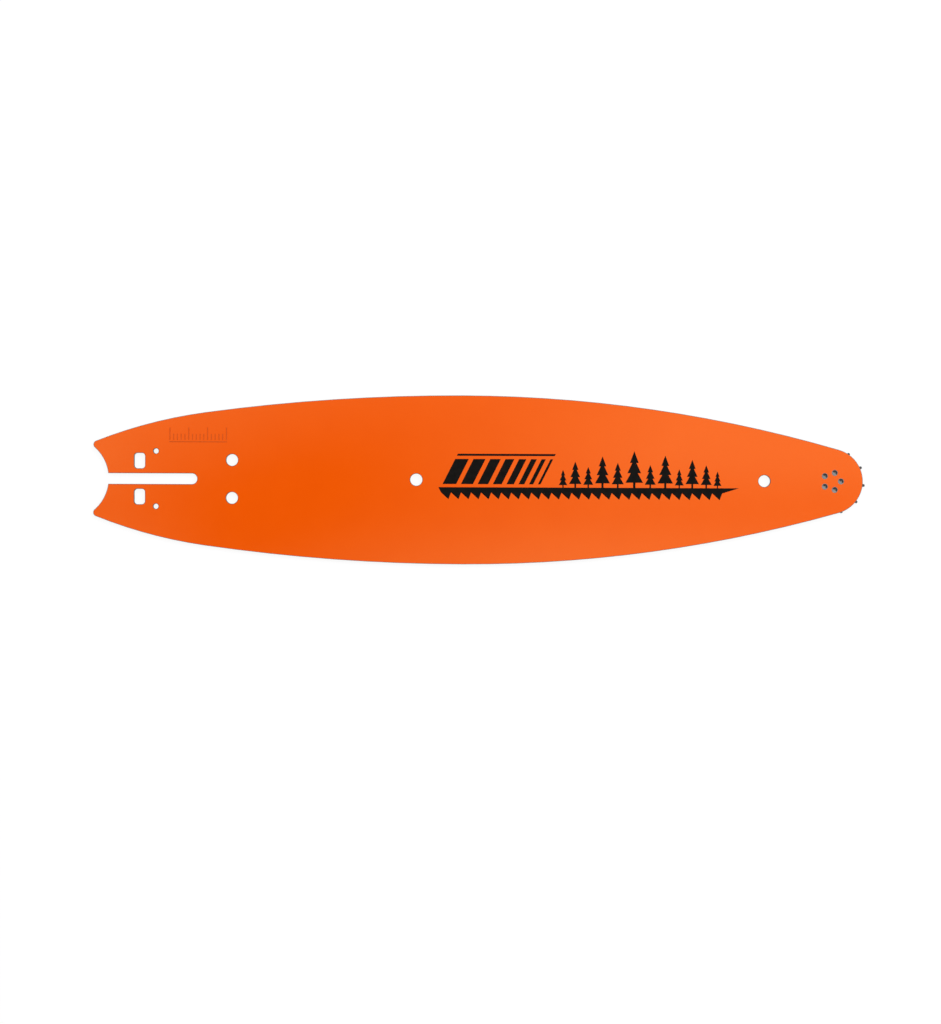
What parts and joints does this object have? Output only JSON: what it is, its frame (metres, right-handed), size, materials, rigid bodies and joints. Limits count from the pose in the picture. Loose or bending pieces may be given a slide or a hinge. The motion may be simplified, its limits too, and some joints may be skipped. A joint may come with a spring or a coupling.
{
  "type": "chainsaw guide bar",
  "caption": "Long leaf-shaped steel guide bar, grooved round its edge for a saw chain, with a slotted and notched tail for clamping and a toothed sprocket riveted into its nose.",
  "frame": {"origin": "midway between the two mounting holes, in the middle of the plate's thickness", "axes": "+X along the bar to its nose, +Y across it to the rail that is uppermost in the picture, +Z out of the face the picture shows"},
  "size_m": [0.7366, 0.1614, 0.006],
  "materials": {
    "orange_paint": "satin orange paint on steel",
    "rivet_steel": "bare riveted steel",
    "sprocket_steel": "hardened dark steel",
    "bearing_steel": "ground bearing steel"
  },
  "bodies": {
    "bar": {"bar_body": "orange_paint", "bearing_race": "bearing_steel", "nose_rivets": "rivet_steel"},
    "sprocket": {"nose_sprocket": "sprocket_steel"},
    "rollers": {"bearing_roller_01": "bearing_steel", "bearing_roller_02": "bearing_steel", "bearing_roller_03": "bearing_steel", "bearing_roller_04": "bearing_steel", "bearing_roller_05": "bearing_steel", "bearing_roller_06": "bearing_steel", "bearing_roller_07": "bearing_steel", "bearing_roller_08": "bearing_steel", "bearing_roller_09": "bearing_steel", "bearing_roller_10": "bearing_steel", "bearing_roller_11": "bearing_steel", "bearing_roller_12": "bearing_steel", "bearing_roller_13": "bearing_steel", "bearing_roller_14": "bearing_steel", "bearing_roller_15": "bearing_steel", "bearing_roller_16": "bearing_steel", "bearing_roller_17": "bearing_steel", "bearing_roller_18": "bearing_steel", "bearing_roller_19": "bearing_steel", "bearing_roller_20": "bearing_steel", "bearing_roller_21": "bearing_steel", "bearing_roller_22": "bearing_steel", "bearing_roller_23": "bearing_steel", "bearing_roller_24": "bearing_steel", "bearing_roller_25": "bearing_steel", "bearing_roller_26": "bearing_steel"}
  },
  "joints": [
    {"name": "sprocket_spin", "type": "hinge", "parent": "bar", "child": "sprocket", "pos_m": [0.5728, 0, 0], "axis": [0, 0, 1], "continuous": true},
    {"name": "roller_orbit", "type": "hinge", "parent": "bar", "child": "rollers", "pos_m": [0.5728, 0, 0], "axis": [0, 0, 1], "continuous": true}
  ],
  "couplings": [
    {"joint": "roller_orbit", "follows": "sprocket_spin", "ratio": 0.5608}
  ]
}
